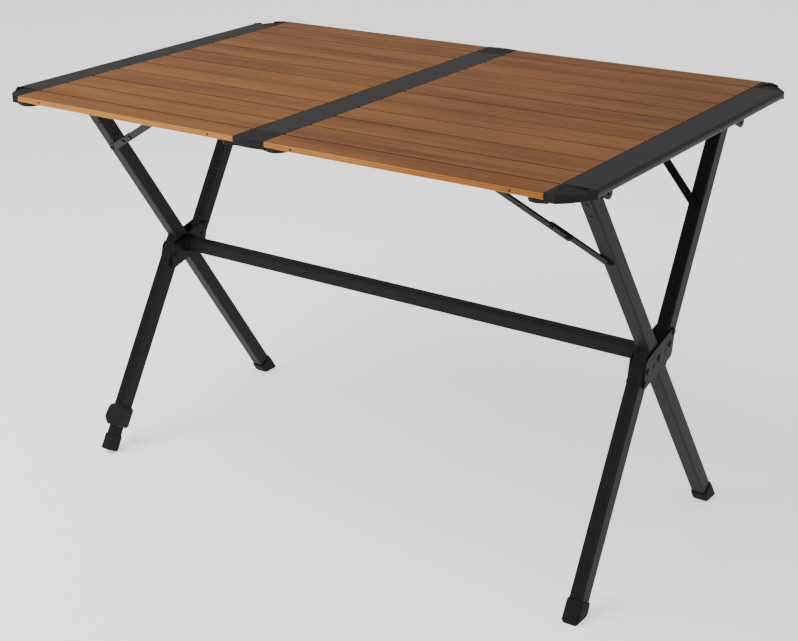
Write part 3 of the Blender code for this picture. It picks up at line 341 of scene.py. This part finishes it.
def speckled(name, low, high, roughness, metallic, shine, grain_mm, depth):
    """Material with an even fine speckle of the given grain, in colour and in relief."""
    made, tree, body = finish(name, Metallic=metallic, Specular_IOR_Level=shine)
    place = add(tree, "ShaderNodeTexCoord")
    grain = add(tree, "ShaderNodeTexNoise", [(place.outputs["Object"], "Vector")],
                Scale=1000.0 / grain_mm, Detail=2.0)
    spread = add(tree, "ShaderNodeMapRange", [(grain.outputs["Fac"], "Value")],
                 From_Min=GRAIN_SPAN[0], From_Max=GRAIN_SPAN[1])
    tint = add(tree, "ShaderNodeMix", [(spread.outputs[0], 0)], data_type="RGBA",
               i6=linear(low), i7=linear(high))
    tree.links.new(tint.outputs[2], body.inputs["Base Color"])
    rub = add(tree, "ShaderNodeMapRange", [(grain.outputs["Fac"], "Value")],
              From_Min=GRAIN_SPAN[0], From_Max=GRAIN_SPAN[1],
              To_Min=roughness - ROUGHNESS_SPREAD, To_Max=roughness + ROUGHNESS_SPREAD)
    tree.links.new(rub.outputs[0], body.inputs["Roughness"])
    relief = add(tree, "ShaderNodeBump", [(grain.outputs["Fac"], "Height")], Strength=0.3, Distance=depth)
    tree.links.new(relief.outputs[0], body.inputs["Normal"])
    return made


grey_anodised = speckled("blasted_anodised_aluminium", "#151415", "#1c1b1c", roughness=0.5,
                         metallic=0.1, shine=0.2, grain_mm=1.2, depth=0.00005)
dress(grey_anodised, "left_end_rail", "centre_rail", "right_end_rail")


# Moulded caps and levelling collar
# Injection-moulded black nylon with a fine spark-eroded texture, which looks soft
# and dry beside the metal.

nylon = speckled("moulded_nylon", "#141414", "#1b1b1b", roughness=0.62,
                 metallic=0.0, shine=0.14, grain_mm=0.8, depth=0.00005)
dress(nylon, *[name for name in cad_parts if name.endswith("_cap") or name == "levelling_collar"])


# Legs, crossbar and long rails
# Extruded aluminium tube, anodised black, which gives an even satin shine with no
# bright highlights.

black_anodised = speckled("black_anodised_aluminium", "#1b1b1b", "#242324", roughness=0.45,
                          metallic=0.05, shine=0.07, grain_mm=1.0, depth=0.00003)
dress(black_anodised, *[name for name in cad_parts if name.endswith("_leg")],
      "crossbar", "front_long_rail", "back_long_rail")


# Hub plates, knee braces and brackets
# Pressed steel plate with a baked black powder coat, which gives a faint
# orange-peel and a soft shine.

black_steel = speckled("powder_coated_steel", "#141414", "#1b1b1b", roughness=0.45,
                       metallic=0.0, shine=0.10, grain_mm=0.9, depth=0.00006)
dress(black_steel, *[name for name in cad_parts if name.endswith(("_plate", "_brace", "_bracket"))])


# Feet
# Moulded rubber boots on three legs and the shoe of the levelling foot, nearly
# black and matt.

rubber = speckled("moulded_rubber", "#111111", "#1a1a1a", roughness=0.75,
                  metallic=0.0, shine=0.15, grain_mm=0.8, depth=0.00005)
dress(rubber, *[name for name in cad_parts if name.endswith("_foot")])


# Hub bolts
# Low button heads of blackened steel with a hexagon socket, one on each of the
# five bolt heads of an outer plate. They sit on the plate's own flat heads.

TABLE_DEPTH = 0.716
LEG_X = 0.504
LEG_THICKNESS = 0.0235
LEG_WIDTH = 0.0255
SEAT_GAP = 0.0003
LEDGE_THICKNESS = 0.003
PLATE_THICKNESS = 0.003
BOLT_HEAD_HEIGHT = 0.0012
HEAD_INSET = 0.1394
HUB_SHARE = 0.4846
HUB_Y = -0.0065
SPLIT_LEG_LESS = math.radians(0.9)
HUB_Z = TABLE_HEIGHT * HUB_SHARE
RAIL_BOTTOM = TABLE_HEIGHT - SLAT_THICKNESS - SEAT_GAP - LEDGE_THICKNESS
HEAD_Z = RAIL_BOTTOM - SEAT_GAP - LEG_WIDTH / 2
FRONT_HEAD_Y = -TABLE_DEPTH / 2 + HEAD_INSET
THROUGH_TILT = math.atan2(HUB_Y - FRONT_HEAD_Y, HEAD_Z - HUB_Z)
SPLIT_TILT = THROUGH_TILT - SPLIT_LEG_LESS
SHANK_PIVOT = (-0.037, 0.011)
BOLTS = {
    "centre": (0.0, 0.0),
    "rear_pivot": (0.037, -0.011),
    "shank_pivot": SHANK_PIVOT,
    "rear_stop": (0.055, -0.001),
    "shank_stop": (-0.055, 0.001),
}
HUB_BOLT_SIDES = 24
SOCKET_RISE = 0.0004
SOCKET_RING = [
    (0.0002, -0.0002),
    (0.0044, -0.0002),
    (0.0044, SOCKET_RISE * 0.6),
    (0.0040, SOCKET_RISE),
    (0.0024, SOCKET_RISE),
    (0.0022, 0.00005),
    (0.0002, 0.00005),
]
SOCKET_FLATS = (4, 5, 6)


def hub_point(reach, rise):
    """World (y, z) of a point given across and along the through leg from the hub."""
    return (HUB_Y + reach * math.cos(THROUGH_TILT) - rise * math.sin(THROUGH_TILT),
            HUB_Z + reach * math.sin(THROUGH_TILT) + rise * math.cos(THROUGH_TILT))


# Blackened steel: nearly black, with a small soft glint.
blackened = speckled("blackened_steel", "#0d0d0d", "#151515", roughness=0.4,
                     metallic=0.1, shine=0.15, grain_mm=0.7, depth=0.00003)
plate_face = LEG_X + LEG_THICKNESS / 2 + SEAT_GAP + PLATE_THICKNESS + BOLT_HEAD_HEIGHT
for side, hand in (("left", -1), ("right", 1)):
    for label, spot in BOLTS.items():
        y, z = hub_point(*spot)
        turned("%s_%s_bolt" % (side, label), SOCKET_RING, (hand * plate_face, y, z),
               (hand, 0.0, 0.0), HUB_BOLT_SIDES, blackened, "front_frame", flats=SOCKET_FLATS)


# Rivets in the leg heads, and the brace screw
# Two domed steel rivets show on the front face of each through leg, just below its
# head. A pan screw on a washer goes through the front face of each back leg to
# its brace.

RIVETS_BELOW_HEAD = (0.034, 0.0587)
RIVET_X = 0.5025
RIVET_SIDES = 20
BRACE_SCREW_X = 0.5017
BRACE_SCREW_BELOW_HEAD = 0.1615
SCREW_SIDES = 24
# Profiles: the radius and height of each ring, from the axis out and back to it.
RIVET_DOME = [
    (0.0002, -0.0003),
    (0.0033, -0.0003),
    (0.0034, 0.0002),
    (0.0030, 0.0008),
    (0.0021, 0.0012),
    (0.0010, 0.0014),
    (0.0002, 0.0014),
]
PAN_SCREW = [
    (0.0002, -0.0003),
    (0.0052, -0.0003),
    (0.0054, 0.0005),
    (0.0052, 0.0010),
    (0.0038, 0.0011),
    (0.0038, 0.0022),
    (0.0032, 0.0029),
    (0.0017, 0.0031),
    (0.0016, 0.0016),
    (0.0002, 0.0016),
]
PAN_FLATS = (8, 9)

back_head_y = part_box("back_long_rail")[0][1] + LEG_WIDTH / 2
through_front = np.array((0.0, -math.cos(THROUGH_TILT), -math.sin(THROUGH_TILT)))
through_down = np.array((0.0, math.sin(THROUGH_TILT), -math.cos(THROUGH_TILT)))
split_front = np.array((0.0, -math.cos(SPLIT_TILT), math.sin(SPLIT_TILT)))
split_down = np.array((0.0, -math.sin(SPLIT_TILT), -math.cos(SPLIT_TILT)))
for side, hand in (("left", -1), ("right", 1)):
    head = np.array((hand * RIVET_X, FRONT_HEAD_Y, HEAD_Z))
    for number, below in enumerate(RIVETS_BELOW_HEAD):
        spot = head + through_down * below + through_front * LEG_WIDTH / 2
        turned("%s_leg_rivet_%d" % (side, number + 1), RIVET_DOME, spot, through_front,
               RIVET_SIDES, blackened, "front_frame")
    head = np.array((hand * BRACE_SCREW_X, back_head_y, HEAD_Z))
    spot = head + split_down * BRACE_SCREW_BELOW_HEAD + split_front * LEG_WIDTH / 2
    turned("%s_brace_screw" % side, PAN_SCREW, spot, split_front,
           SCREW_SIDES, blackened, "rear_arms", flats=PAN_FLATS)


# Screws of the brackets
# Two pan screws of blackened steel, each on a washer, go up through each
# bracket's flange into the end rail.

FLANGE_X = 0.534
BRACKET_THICKNESS = 0.003
SCREW_PLACES = {"front": (-0.200, -0.158), "back": (0.248, 0.290)}
flange_face = RAIL_BOTTOM - SEAT_GAP - BRACKET_THICKNESS
for side, hand in (("left", -1), ("right", 1)):
    for end, rows in SCREW_PLACES.items():
        for number, y in enumerate(rows):
            turned("%s_%s_bracket_screw_%d" % (end, side, number + 1), PAN_SCREW,
                   (hand * FLANGE_X, y, flange_face), (0.0, 0.0, -1.0),
                   SCREW_SIDES, blackened, "top", flats=PAN_FLATS)


# Thread of the levelling foot
# The foot's steel screw has a rolled M8 thread. It shows only when the foot is
# screwed out of its collar.

SCREW_RADIUS = 0.004
THREAD_RISE = 0.0002
THREAD_PITCH = 0.00125
THREAD_LENGTH = 0.040
THREAD_SKIN = 0.00002
THREAD_SIDES = 20
STEPS_PER_PITCH = 6
PAST_SCREW_END = 0.002
shank_y, shank_z = hub_point(*SHANK_PIVOT)
foot_axis = split_down
foot_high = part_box("levelling_foot")[1][2]
# How far down the leg from its pivot the screw's top end lies.
screw_top = (foot_high - shank_z - SCREW_RADIUS * math.sin(SPLIT_TILT)) / foot_axis[2]
thread_top = np.array((-LEG_X, shank_y, shank_z)) + foot_axis * (screw_top + PAST_SCREW_END)


def thread(name, top, axis, made, body):
    """A closed threaded rod. Its radius at a height and an angle is the screw's with a thin skin,
    plus the rise times a triangle wave of height over pitch less angle over a full turn. The
    thread fades out at both ends."""
    steps = int(THREAD_LENGTH / THREAD_PITCH * STEPS_PER_PITCH)
    height = np.linspace(0.0, THREAD_LENGTH, steps)[:, None]
    angle = (np.arange(THREAD_SIDES) * 2 * np.pi / THREAD_SIDES)[None, :]
    phase = np.mod(height / THREAD_PITCH - angle / (2 * np.pi), 1.0)
    fade = np.clip(np.minimum(height, THREAD_LENGTH - height) / THREAD_PITCH, 0.0, 1.0)
    radius = SCREW_RADIUS + THREAD_SKIN + THREAD_RISE * fade * (1 - np.abs(2 * phase - 1))
    across = np.array((1.0, 0.0, 0.0))
    other = np.cross(axis, across)
    points = (top + height[:, :, None] * axis + (radius * np.cos(angle))[:, :, None] * across
              + (radius * np.sin(angle))[:, :, None] * other)
    row_start = np.arange(steps - 1)[:, None] * THREAD_SIDES
    here = row_start + np.arange(THREAD_SIDES)
    beside = row_start + np.roll(np.arange(THREAD_SIDES), -1)
    walls = np.stack([here, beside, beside + THREAD_SIDES, here + THREAD_SIDES], axis=-1).reshape(-1, 4)
    ends = [list(range(THREAD_SIDES))[::-1],
            list(range((steps - 1) * THREAD_SIDES, steps * THREAD_SIDES))]
    mesh = bpy.data.meshes.new(name)
    mesh.from_pydata(points.reshape(-1, 3).tolist(), [], walls.tolist() + ends)
    mesh.materials.append(made)
    piece = bpy.data.objects.new(name, mesh)
    bpy.context.scene.collection.objects.link(piece)
    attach(piece, body)


thread("levelling_thread", thread_top, foot_axis, blackened, "screw_foot")
